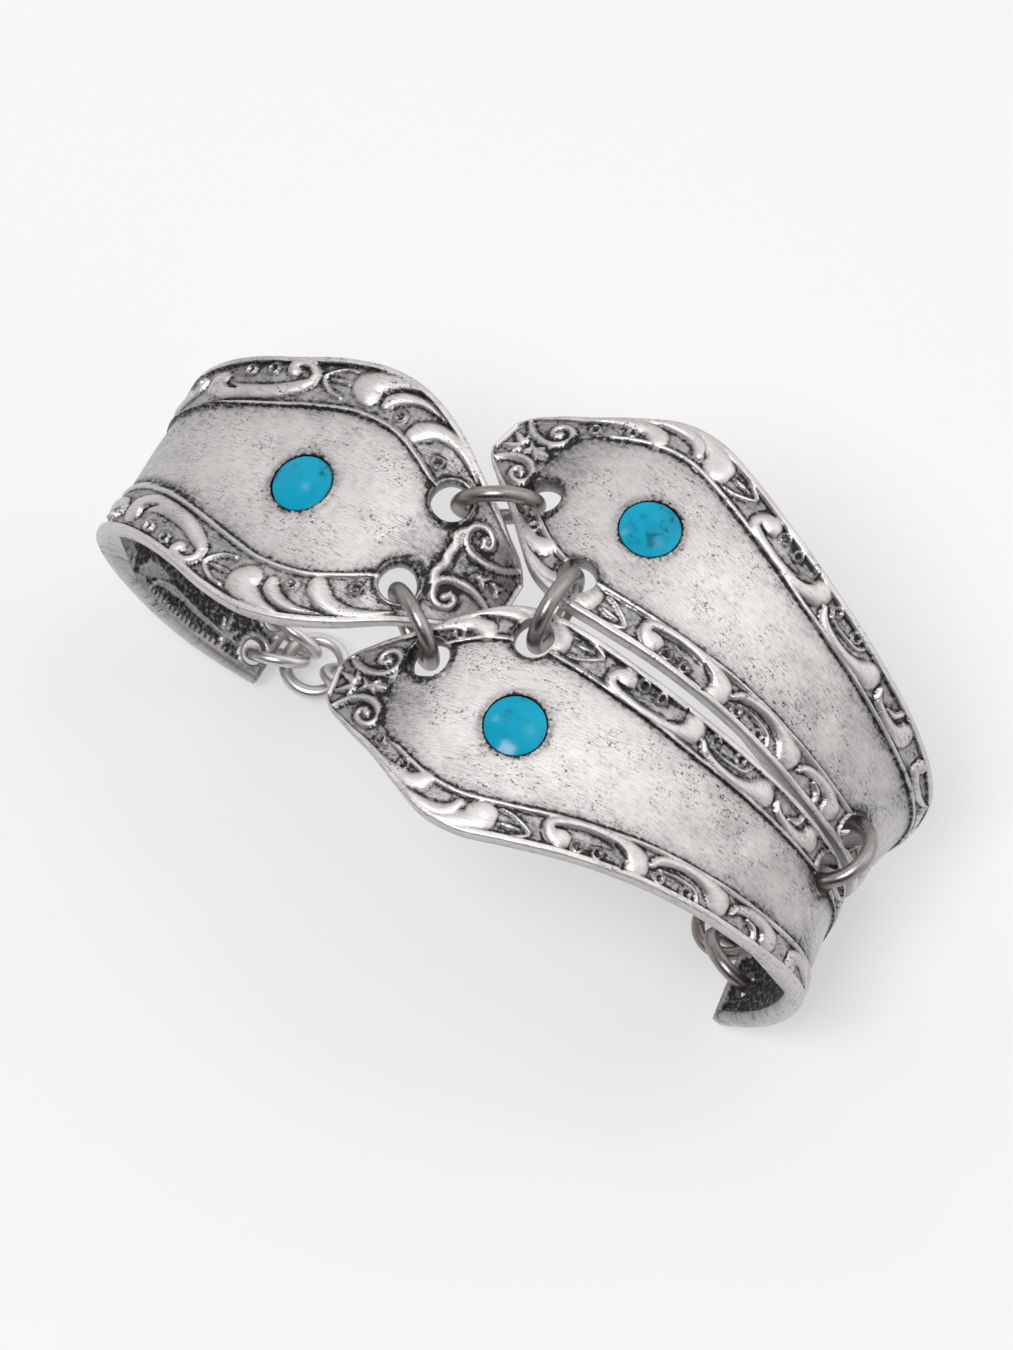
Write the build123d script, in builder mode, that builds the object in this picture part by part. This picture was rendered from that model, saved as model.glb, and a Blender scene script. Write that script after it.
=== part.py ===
from build123d import *
from math import cos, pi, radians, sin, sqrt
import os

os.makedirs("parts", exist_ok=True)

# Silver bracelet of three old spoon handles, in millimetres, Z up, standing on Z = 0.
# X runs from the single left plate to the pair, Y from the near plate to the far one.
# A plate is measured along its middle line from its tip, across from that line,
# and in lift from its outer face. Negative slope rises.

# Sizes of the plates
pair_length = 71.6
pair_half = 9.55
left_length = 67.6
left_half = 11.6
plate_thick = 1.6
rim_width = 0.85
rim_round = 0.22
ground_depth = 0.45
bead_rise = 0.36
panel_rise = 0.14
bead_half = 0.42

# Stones and their seats
stone_diameter = 4.9
stone_gap = 0.12
stone_wall = 0.70
stone_dome = 0.45
seat_depth = 0.86
seat_lip = 0.32
seat_lip_rise = 0.12
seat_root = 0.8
pair_stone_along = 0.2556
left_stone_along = 0.3047

# Holes: diameters, then where they are as share along and share of the half width
tip_hole = 3.3
edge_hole = 3.2
side_hole = 3.2
left_end_hole = 2.2
pair_end_hole = 2.4
hole_lip = 0.50
left_tip_spot = (0.1346, 0.336)
pair_tip_spot = (0.1355, 0.340)
pair_edge_spot = (0.2374, 0.743)
pair_side_spot = (0.6788, 0.361)
left_end_spot = (0.9749, 0.1466)
pair_end_spot = (0.9679, 0.0)

# Jump rings: wire and mean diameter
dark_wire = 1.25
dark_mean = 6.2
side_mean = 5.7
end_mean = 5.9
foot_wire = 1.0
foot_mean = 4.6
hub_wire = 1.1
hub_mean = 4.8

# Hidden chain on the surface, between hubs that lie just inside the feet of the plates.
# Each step of either half swings behind the line between the hubs by its own angle.
hub_height = 2.22
hub_left_reach = 4.84
hub_left_aside = 0.31
hub_right_reach = 4.52
hub_right_aside = 1.95
chain_wire = 1.0
chain_mean = 4.6
chain_lean = 42.0
chain_gap = 0.2
hub_gap = 0.28
chain_side_links = 3
left_swings = (10.0, 14.0, 10.0, 4.0)
right_swings = (22.0, 26.0, 18.0, 6.0)
clasp_eye_mean = 3.4
clasp_radius = 1.5

# Where the plates stand: tip point, heading and pitch in degrees, side tilt in degrees
loop_shift = -3.86
floor_drop = 10.88
pair_tip_x = -5.84
pair_tip_y = 12.85
pair_tip_z = 21.16
pair_heading = 10.07
pair_pitch = -36.26
pair_tilt = 4.18
left_tip_x = 4.79
left_tip_z = 22.02
left_heading = 180.86
left_pitch = -45.1
left_tilt = -4.8

# Bends of each middle line: share of the plate's length, turn in degrees
pair_bends = [(0.660, 94.6), (0.118, 38.0), (0.112, 17.4), (0.110, 27.5)]
left_bends = [(0.1546, 41.6), (0.1031, 17.4), (0.1627, 8.6), (0.2231, 69.1), (0.1917, 29.1), (0.1648, 37.5)]

# Sections of the pair: share along, share of the half width, bead line as a share of it, bead height share
pair_sections = [
    (0.032, 0.140, 0.40, 0.0),
    (0.038, 0.200, 0.40, 0.0),
    (0.070, 0.377, 0.40, 0.0),
    (0.110, 0.545, 0.42, 0.3),
    (0.150, 0.742, 0.63, 1.0),
    (0.196, 0.942, 0.66, 1.0),
    (0.238, 1.000, 0.67, 1.0),
    (0.293, 0.948, 0.68, 1.0),
    (0.363, 0.848, 0.62, 1.0),
    (0.447, 0.749, 0.55, 1.0),
    (0.531, 0.675, 0.53, 1.0),
    (0.615, 0.618, 0.51, 1.0),
    (0.698, 0.545, 0.50, 1.0),
    (0.810, 0.450, 0.52, 1.0),
    (0.908, 0.377, 0.52, 0.6),
    (0.955, 0.345, 0.52, 0.3),
    (1.000, 0.315, 0.50, 0.0),
]

# Sections of the left plate, the same columns
left_sections = [
    (0.006, 0.175, 0.40, 0.0),
    (0.013, 0.225, 0.40, 0.0),
    (0.059, 0.397, 0.40, 0.0),
    (0.118, 0.603, 0.42, 0.0),
    (0.178, 0.828, 0.47, 0.8),
    (0.237, 0.966, 0.59, 1.0),
    (0.281, 1.000, 0.60, 1.0),
    (0.340, 0.957, 0.57, 1.0),
    (0.414, 0.828, 0.54, 1.0),
    (0.488, 0.733, 0.52, 1.0),
    (0.562, 0.664, 0.49, 1.0),
    (0.651, 0.595, 0.47, 1.0),
    (0.769, 0.491, 0.48, 1.0),
    (0.888, 0.397, 0.50, 0.8),
    (0.945, 0.350, 0.50, 0.3),
    (1.000, 0.305, 0.50, 0.0),
]

# Raised scroll cords of both borders: share along and share of the half width at three points, thickness in mm
pair_cords = [
    (0.042, 0.110, 0.064, 0.150, 0.084, 0.115, 0.45),
    (0.125, 0.560, 0.157, 0.700, 0.189, 0.715, 0.60),
    (0.176, 0.850, 0.205, 0.885, 0.230, 0.840, 0.60),
    (0.228, 0.900, 0.252, 0.890, 0.272, 0.820, 0.65),
    (0.282, 0.850, 0.300, 0.840, 0.316, 0.780, 0.50),
    (0.282, 0.715, 0.300, 0.720, 0.316, 0.775, 0.50),
    (0.326, 0.690, 0.384, 0.520, 0.447, 0.580, 0.75),
    (0.450, 0.535, 0.503, 0.425, 0.557, 0.510, 0.70),
    (0.563, 0.460, 0.603, 0.395, 0.640, 0.450, 0.65),
    (0.675, 0.430, 0.712, 0.365, 0.754, 0.380, 0.60),
    (0.775, 0.350, 0.824, 0.300, 0.873, 0.290, 0.55),
]
left_cords = [
    (0.030, 0.120, 0.055, 0.175, 0.080, 0.170, 0.50),
    (0.118, 0.470, 0.168, 0.660, 0.216, 0.690, 0.70),
    (0.207, 0.790, 0.240, 0.830, 0.266, 0.800, 0.65),
    (0.259, 0.895, 0.288, 0.880, 0.311, 0.830, 0.75),
    (0.325, 0.830, 0.343, 0.820, 0.360, 0.750, 0.55),
    (0.325, 0.655, 0.343, 0.665, 0.360, 0.735, 0.55),
    (0.373, 0.645, 0.436, 0.495, 0.516, 0.560, 0.85),
    (0.524, 0.515, 0.577, 0.425, 0.639, 0.480, 0.75),
    (0.651, 0.440, 0.703, 0.370, 0.754, 0.385, 0.65),
    (0.769, 0.370, 0.828, 0.310, 0.888, 0.285, 0.60),
]

# Leaf and scroll ends: share along, share of the half width, radius in mm
pair_bulbs = [
    (0.085, 0.220, 0.45),
    (0.189, 0.690, 0.85),
    (0.231, 0.805, 0.90),
    (0.266, 0.785, 1.10),
    (0.344, 0.705, 0.95),
    (0.442, 0.615, 0.65),
    (0.556, 0.545, 0.60),
    (0.621, 0.485, 0.50),
]
left_bulbs = [
    (0.077, 0.245, 0.50),
    (0.219, 0.670, 0.90),
    (0.266, 0.760, 0.95),
    (0.306, 0.760, 1.20),
    (0.392, 0.700, 1.05),
    (0.513, 0.600, 0.70),
    (0.636, 0.510, 0.60),
]

# Small ringlets: share along, share of the half width, radius in mm
pair_ringlets = [
    (0.085, 0.220, 0.95),
    (0.119, 0.450, 0.50),
    (0.159, 0.610, 0.50),
    (0.366, 0.690, 0.45),
    (0.390, 0.665, 0.45),
    (0.468, 0.590, 0.42),
    (0.500, 0.570, 0.42),
]
left_ringlets = [
    (0.077, 0.245, 1.05),
    (0.178, 0.510, 0.50),
    (0.247, 0.700, 0.50),
    (0.426, 0.655, 0.48),
    (0.456, 0.640, 0.48),
    (0.541, 0.530, 0.45),
]
ringlet_wire = 0.44
bulb_rise = 0.06
bulb_root = 0.9
bulb_round = 0.38

pair_plate = {
    "length": pair_length,
    "half": pair_half,
    "bends": pair_bends,
    "sections": pair_sections,
    "tip": Vector(pair_tip_x + loop_shift, pair_tip_y, pair_tip_z + floor_drop),
    "heading": -pair_heading,
    "pitch": pair_pitch,
    "tilt": -pair_tilt,
}
left_plate = {
    "length": left_length,
    "half": left_half,
    "bends": left_bends,
    "sections": left_sections,
    "tip": Vector(left_tip_x + loop_shift, 0, left_tip_z + floor_drop),
    "heading": left_heading,
    "pitch": left_pitch,
    "tilt": left_tilt,
}


def middle_line(plate, along):
    """Run, height and slope of a plate's middle line at a share of its length."""
    run = 0.0
    height = 0.0
    slope = radians(plate["pitch"])
    left = along * plate["length"]
    for share, turn in plate["bends"]:
        arc = share * plate["length"]
        radius = arc / radians(turn)
        step = min(left, arc)
        bent = slope + step / radius
        run += radius * (sin(bent) - sin(slope))
        height += radius * (cos(bent) - cos(slope))
        slope = bent
        left -= step
    return run, height, slope


def place(plate, along, across, lift=0.0):
    """Point on a plate, with the directions ahead, sideways and out there."""
    run, height, slope = middle_line(plate, along)
    heading = radians(plate["heading"])
    tilt = radians(plate["tilt"])
    ahead = Vector(cos(heading) * cos(slope), sin(heading) * cos(slope), -sin(slope))
    side = Vector(-sin(heading) * cos(tilt), cos(heading) * cos(tilt), sin(tilt))
    out = Vector(cos(heading) * sin(slope), sin(heading) * sin(slope), cos(slope))
    point = plate["tip"] + Vector(cos(heading), sin(heading), 0) * run + Vector(0, 0, height)
    return point + side * across + out * lift, ahead, side, out


def section_points(half, bead, rise):
    """Half a plate's section, from the middle of the panel out and round to the inner face."""
    rim = min(rim_width, 0.3 * half)
    step = 0.35 * rim
    width = min(bead_half, 0.1 * half)
    line = bead * half
    panel = -ground_depth + rise * panel_rise
    crest = -ground_depth + rise * bead_rise
    return [
        (line - width, panel),
        (line - 0.4 * width, crest),
        (line + 0.4 * width, crest),
        (line + width, -ground_depth),
        (half - rim - step, -ground_depth),
        (half - rim, 0),
        (half - rim_round, 0),
        (half, -rim_round),
        (half, -plate_thick + 1.6 * rim_round),
        (half - 1.6 * rim_round, -plate_thick),
    ]


def cast_blank(plate):
    """The bent plate itself, lofted through its table of sections."""
    outlines = []
    for along, share, bead, rise in plate["sections"]:
        point, ahead, side, out = place(plate, along, 0)
        up = out.cross(side).cross(side) * -1
        half_side = section_points(share * plate["half"], bead, rise)
        outline = half_side + [(-across, lift) for across, lift in reversed(half_side)]
        corners = [point + side * across + up.normalized() * lift for across, lift in outline]
        outlines.append(Face(Wire.make_polygon(corners, close=True)))
    with BuildPart(mode=Mode.PRIVATE) as blank:
        loft(sections=outlines)
    return blank.part


def relief(plate, cords, bulbs, ringlets):
    """Raised scrolls, leaf ends and ringlets of both borders."""
    solids = []
    for hand in (-1, 1):
        for a1, w1, a2, w2, a3, w3, thick in cords:
            lift = -thick / 2
            points = [place(plate, a, hand * w * plate["half"], lift)[0] for a, w in ((a1, w1), (a2, w2), (a3, w3))]
            path = ThreePointArc(*points)
            with BuildPart(mode=Mode.PRIVATE) as cord:
                with BuildSketch(Plane(origin=path @ 0, z_dir=path % 0)):
                    Circle(thick / 2)
                sweep(path=path)
            solids.append(cord.part)
        for along, share, radius in bulbs:
            point, ahead, side, out = place(plate, along, hand * share * plate["half"], bulb_rise)
            with BuildPart(mode=Mode.PRIVATE) as bulb:
                with Locations(Plane(origin=point, x_dir=ahead, z_dir=out)):
                    Cylinder(radius, bulb_root, align=(Align.CENTER, Align.CENTER, Align.MAX))
                fillet(bulb.edges().sort_by_distance(point + out * bulb_root)[:1], bulb_round)
            solids.append(bulb.part)
        for along, share, radius in ringlets:
            lift = -ground_depth + 0.1
            point, ahead, side, out = place(plate, along, hand * share * plate["half"], lift)
            with BuildPart(mode=Mode.PRIVATE) as ringlet:
                with Locations(Plane(origin=point, x_dir=ahead, z_dir=out)):
                    Torus(radius, ringlet_wire / 2)
            solids.append(ringlet.part)
    return solids


def drill(plate, spot, diameter):
    """Cutter through a plate, square to its face."""
    along, share = spot
    point, ahead, side, out = place(plate, along, share * plate["half"], -plate_thick / 2)
    with BuildPart(mode=Mode.PRIVATE) as cutter:
        with Locations(Plane(origin=point, x_dir=ahead, z_dir=out)):
            Cylinder(diameter / 2, 2.4 * plate_thick)
    return cutter.part


def lip(plate, spot, diameter):
    """Raised lip round a hole."""
    along, share = spot
    point, ahead, side, out = place(plate, along, share * plate["half"], -0.75 * hole_lip)
    with BuildPart(mode=Mode.PRIVATE) as edge:
        with Locations(Plane(origin=point, x_dir=ahead, z_dir=out)):
            Torus(diameter / 2 + 0.4 * hole_lip, hole_lip / 2)
    return edge.part


def seat(plate, along):
    """Raised collar of a stone's seat, and the cutter that sinks it."""
    panel = -ground_depth + panel_rise
    point, ahead, side, out = place(plate, along, 0, panel)
    base = Plane(origin=point, x_dir=ahead, z_dir=out)
    bore = stone_diameter / 2 + stone_gap
    with BuildPart(mode=Mode.PRIVATE) as collar:
        with Locations(base.offset(seat_lip_rise)):
            Cylinder(bore + seat_lip, seat_root, align=(Align.CENTER, Align.CENTER, Align.MAX))
    with BuildPart(mode=Mode.PRIVATE) as sink:
        with Locations(base.offset(-seat_depth)):
            Cylinder(bore, 2 * plate_thick, align=(Align.CENTER, Align.CENTER, Align.MIN))
    return collar.part, sink.part


def plate_casting(plate, cords, bulbs, ringlets, stone_along, lips, holes):
    """One whole casting: blank, relief, seat and holes."""
    collar, sink = seat(plate, stone_along)
    with BuildPart(mode=Mode.PRIVATE) as casting:
        add(cast_blank(plate))
        add(relief(plate, cords, bulbs, ringlets))
        add([lip(plate, spot, diameter) for spot, diameter in lips])
        add(collar)
        add(sink, mode=Mode.SUBTRACT)
        add([drill(plate, spot, diameter) for spot, diameter in holes], mode=Mode.SUBTRACT)
    return casting.part


def cabochon(plate, along):
    """Round domed stone, set just clear of its seat."""
    radius = stone_diameter / 2
    lift = -ground_depth + panel_rise - seat_depth + stone_gap
    point, ahead, side, out = place(plate, along, 0, lift)
    dome_radius = (radius ** 2 + stone_dome ** 2) / (2 * stone_dome)
    half_angle = 0.5 * radius / dome_radius
    middle = (dome_radius * sin(half_angle), stone_wall + stone_dome - dome_radius * (1 - cos(half_angle)))
    with BuildPart(mode=Mode.PRIVATE) as stone:
        with BuildSketch(Plane(origin=point, x_dir=ahead, z_dir=side)):
            with BuildLine():
                Polyline((0, 0), (radius, 0), (radius, stone_wall))
                ThreePointArc((radius, stone_wall), middle, (0, stone_wall + stone_dome))
                Line((0, stone_wall + stone_dome), (0, 0))
            make_face()
        revolve(axis=Axis(point, out))
    return stone.part


def spot_centre(plate, spot):
    """Middle of a hole, halfway through its plate."""
    along, share = spot
    return place(plate, along, share * plate["half"], -plate_thick / 2)[0]


def mirrored(point):
    """The same point on the front plate."""
    return Vector(point.X, -point.Y, point.Z)


def opposite(spot):
    """The same spot on the other side of a plate's middle line."""
    along, share = spot
    return along, -share


def jump_ring(centre, axis, mean, wire):
    """Closed ring of round wire."""
    with BuildPart(mode=Mode.PRIVATE) as ring:
        with Locations(Plane(origin=centre, z_dir=axis)):
            Torus(mean / 2, wire / 2)
    return ring.part


# Inner edge is the side across < 0 of the back plate. The front plate is its mirror image.
back_tip = opposite(pair_tip_spot)
back_edge = opposite(pair_edge_spot)
back_side = opposite(pair_side_spot)
pair_holes = [
    (back_tip, tip_hole),
    (back_edge, edge_hole),
    (back_side, side_hole),
    (pair_end_spot, pair_end_hole),
]
left_tips = [(left_tip_spot, tip_hole), (opposite(left_tip_spot), tip_hole)]
left_ends = [(left_end_spot, left_end_hole), (opposite(left_end_spot), left_end_hole)]

with BuildPart() as plate_left:
    add(plate_casting(left_plate, left_cords, left_bulbs, left_ringlets, left_stone_along,
                      left_tips, left_tips + left_ends))
with BuildPart() as plate_back:
    add(plate_casting(pair_plate, pair_cords, pair_bulbs, pair_ringlets, pair_stone_along,
                      [(back_tip, tip_hole)], pair_holes))
with BuildPart() as plate_front:
    add(mirror(plate_back.part, about=Plane.XZ, mode=Mode.PRIVATE))
with BuildPart() as stone_left:
    add(cabochon(left_plate, left_stone_along))
with BuildPart() as stone_back:
    add(cabochon(pair_plate, pair_stone_along))
with BuildPart() as stone_front:
    add(mirror(stone_back.part, about=Plane.XZ, mode=Mode.PRIVATE))

upright = Vector(0, 0, 1)
tip_back = spot_centre(pair_plate, back_tip)
edge_back = spot_centre(pair_plate, back_edge)
side_back = spot_centre(pair_plate, back_side)
end_back = spot_centre(pair_plate, pair_end_spot)
left_back = spot_centre(left_plate, opposite(left_tip_spot))
left_front = spot_centre(left_plate, left_tip_spot)
foot_back = spot_centre(left_plate, opposite(left_end_spot))
foot_front = spot_centre(left_plate, left_end_spot)
left_foot = (foot_back + foot_front) * 0.5
right_foot = (end_back + mirrored(end_back)) * 0.5
hub_left_centre = Vector(left_foot.X + hub_left_reach, left_foot.Y + hub_left_aside, hub_height)
hub_right_centre = Vector(right_foot.X - hub_right_reach, right_foot.Y - hub_right_aside, hub_height)

# Rings: name, the two points it hangs between, shift of its middle from theirs, axis, mean diameter, wire
rings = [
    ("ring_left_back", left_back, tip_back, (0.17, 0.00, -0.29), (0.511, -0.843, -0.166), dark_mean, dark_wire),
    ("ring_left_front", left_front, mirrored(tip_back), (-0.02, -0.03, -0.51), (-0.517, -0.856, -0.018),
     dark_mean, dark_wire),
    ("ring_pair_top", edge_back, mirrored(edge_back), (0, 0, 0), (-1, 0, -0.01), dark_mean, dark_wire),
    ("ring_pair_side", side_back, mirrored(side_back), (0.17, 0, 0.10), (0.51, 0, -0.86), side_mean, dark_wire),
    ("ring_end_front", mirrored(end_back), hub_right_centre, (0.20, -0.39, -0.09), (0.343, 0.738, 0.580),
     end_mean, dark_wire),
    ("ring_end_back", end_back, hub_right_centre, (0.95, 1.64, 0.59), (-0.353, 0.284, -0.892),
     end_mean, dark_wire),
    ("ring_link_back", end_back, hub_right_centre, (-0.60, -1.41, -0.24), (-0.716, 0.654, -0.244),
     hub_mean, hub_wire),
    ("ring_foot_front", foot_front, hub_left_centre, (-0.56, -0.08, -0.10), (0.303, -0.798, -0.521),
     foot_mean, foot_wire),
    ("ring_foot_back", foot_back, hub_left_centre, (-0.29, 0.40, 0.00), (-0.091, -0.970, -0.224),
     foot_mean, foot_wire),
    ("ring_hub_left", hub_left_centre, hub_left_centre, (0, 0, 0), (0, 0, 1), hub_mean, hub_wire),
    ("ring_hub_right", hub_right_centre, hub_right_centre, (0, 0, 0), (0, 0, 1), hub_mean, hub_wire),
]

pieces = {
    "plate_left": plate_left.part,
    "plate_back": plate_back.part,
    "plate_front": plate_front.part,
    "stone_left": stone_left.part,
    "stone_back": stone_back.part,
    "stone_front": stone_front.part,
}
for name, first, second, shift, axis, mean, wire in rings:
    middle = (first + second) * 0.5 + Vector(*shift)
    pieces[name] = jump_ring(middle, axis, mean, wire)

# The chain's links lean to either side in turn, and the clasp's eyes lean against its last links
chain_ahead = (hub_right_centre - hub_left_centre).normalized()
first_link = (hub_mean + chain_mean - hub_wire - chain_wire) / 2 - hub_gap
link_pitch = chain_mean - chain_wire - chain_gap
eye_reach = (chain_mean + clasp_eye_mean) / 2 - chain_wire - chain_gap
chain_steps = [first_link] + [link_pitch] * (chain_side_links - 1) + [eye_reach]


def leaning(along, lean):
    """Axis of a link that leans over the chain's line."""
    angle = radians(lean)
    return upright.cross(along) * cos(angle) + upright * sin(angle)


eyes = []
for side_number, start, sense, swings in (
        (0, hub_left_centre, 1, left_swings), (1, hub_right_centre, -1, right_swings)):
    centre = start
    for number in range(chain_side_links):
        centre += chain_ahead.rotate(Axis.Z, sense * swings[number]) * (sense * chain_steps[number])
        swing = (swings[number] + swings[number + 1]) / 2 if number else swings[0]
        along = chain_ahead.rotate(Axis.Z, sense * swing)
        lean = chain_lean if number % 2 == 0 else chain_lean - 90
        name = f"chain_{side_number * chain_side_links + number + 1}"
        pieces[name] = jump_ring(centre, leaning(along, lean), chain_mean, chain_wire)
    eyes.append(centre + chain_ahead.rotate(Axis.Z, sense * swings[-1]) * (sense * chain_steps[-1]))

left_eye, right_eye = eyes
eye_lean = chain_lean - 90 if chain_side_links % 2 else chain_lean
clasp_ahead = (right_eye - left_eye).normalized()
body_inset = clasp_eye_mean / 2 + 0.75 * clasp_radius
body_length = (right_eye - left_eye).length - 2 * body_inset
with BuildPart() as clasp:
    with BuildSketch(Plane(origin=(left_eye + right_eye) * 0.5, x_dir=clasp_ahead, z_dir=upright)):
        with BuildLine():
            Line((-body_length / 2 - clasp_radius, 0), (body_length / 2 + clasp_radius, 0))
            JernArc((body_length / 2 + clasp_radius, 0), (0, 1), clasp_radius, 90)
            Line((body_length / 2, clasp_radius), (-body_length / 2, clasp_radius))
            JernArc((-body_length / 2, clasp_radius), (-1, 0), clasp_radius, 90)
        make_face()
    revolve(axis=Axis((left_eye + right_eye) * 0.5, clasp_ahead))
    add(jump_ring(left_eye, leaning(clasp_ahead, eye_lean), clasp_eye_mean, chain_wire))
    add(jump_ring(right_eye, leaning(clasp_ahead, eye_lean), clasp_eye_mean, chain_wire))
pieces["clasp"] = clasp.part

for name, part in pieces.items():
    part.label = name
    export_step(part, f"parts/{name}.step")
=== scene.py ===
from math import cos, radians, sin, tau

import bpy
import numpy as np
from bpy.props import FloatProperty, FloatVectorProperty, IntProperty, PointerProperty
from mathutils import Matrix, Vector


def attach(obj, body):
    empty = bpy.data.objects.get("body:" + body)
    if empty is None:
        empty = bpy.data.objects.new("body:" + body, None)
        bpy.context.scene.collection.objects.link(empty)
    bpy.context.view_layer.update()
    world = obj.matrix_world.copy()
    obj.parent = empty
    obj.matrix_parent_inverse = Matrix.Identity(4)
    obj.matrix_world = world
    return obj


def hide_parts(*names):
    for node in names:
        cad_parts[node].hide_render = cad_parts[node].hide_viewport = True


bl_info = {
    "name": "Silver spoon bracelet",
    "version": (1, 0, 0),
    "blender": (4, 5, 0),
    "location": "View3D > Sidebar > Bracelet",
    "description": "Dresses the packed bracelet with carved plates, turquoise stones and rings",
    "category": "Object",
}

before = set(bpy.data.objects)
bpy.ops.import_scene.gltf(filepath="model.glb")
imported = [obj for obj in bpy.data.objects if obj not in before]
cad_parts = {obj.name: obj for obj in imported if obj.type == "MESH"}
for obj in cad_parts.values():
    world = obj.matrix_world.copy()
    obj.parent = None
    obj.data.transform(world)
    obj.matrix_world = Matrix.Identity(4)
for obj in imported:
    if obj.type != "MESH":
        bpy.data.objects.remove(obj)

# Plates are worked flat in millimetres, along from the tip, across and in height,
# with the rim at height 0. They are then bent onto the frame's middle lines.
MM = 0.001

# Where the camera looks, and what it stands back from, in millimetres of the frame
LOOK_AT = Vector((-3.86, 0.0, 10.88))
AZIMUTH = 32.0857
ELEVATION = 64.9784
CAMERA_BACK = 600.0
PHOTO_WIDTH = 1013
PHOTO_HEIGHT = 1350
FOCAL_PIXELS = 7500
SENSOR = 36.0
LOOK_AT_COLUMN = 461.305
LOOK_AT_ROW = 703.154

# Plate sections: share of the length, share of the half width
PAIR_OUTLINE = [
    (0.032, 0.140),
    (0.038, 0.200),
    (0.070, 0.377),
    (0.110, 0.545),
    (0.150, 0.742),
    (0.196, 0.942),
    (0.238, 1.000),
    (0.293, 0.948),
    (0.363, 0.848),
    (0.447, 0.749),
    (0.531, 0.675),
    (0.615, 0.618),
    (0.698, 0.545),
    (0.810, 0.450),
    (0.908, 0.377),
    (0.955, 0.345),
    (1.000, 0.315),
]
LEFT_OUTLINE = [
    (0.006, 0.175),
    (0.013, 0.225),
    (0.059, 0.397),
    (0.118, 0.603),
    (0.178, 0.828),
    (0.237, 0.966),
    (0.281, 1.000),
    (0.340, 0.957),
    (0.414, 0.828),
    (0.488, 0.733),
    (0.562, 0.664),
    (0.651, 0.595),
    (0.769, 0.491),
    (0.888, 0.397),
    (0.945, 0.350),
    (1.000, 0.305),
]

# Edge of the plain panel, from the tip to the foot: along, across
PAIR_PANEL = [
    (7.6, 0.0), (7.7, 1.4), (8.6, 3.2), (10.7, 4.5), (13.4, 5.8), (16.3, 6.4), (19.0, 6.2), (24.0, 5.3),
    (28.0, 4.6), (32.0, 3.95), (38.0, 3.4), (44.0, 3.0), (50.0, 2.65), (58.0, 2.25), (65.0, 1.9), (72.0, 1.6),
]
LEFT_PANEL = [
    (7.3, 0.0), (7.5, 0.8), (7.3, 1.7), (7.9, 2.6), (9.3, 3.6), (11.2, 4.3), (13.6, 5.6), (16.3, 6.7),
    (20.0, 6.95), (23.8, 6.1), (27.7, 5.0), (31.5, 4.15), (35.4, 3.6), (40.0, 3.4), (52.0, 2.9), (60.0, 2.3),
    (68.0, 1.9),
]

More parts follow.
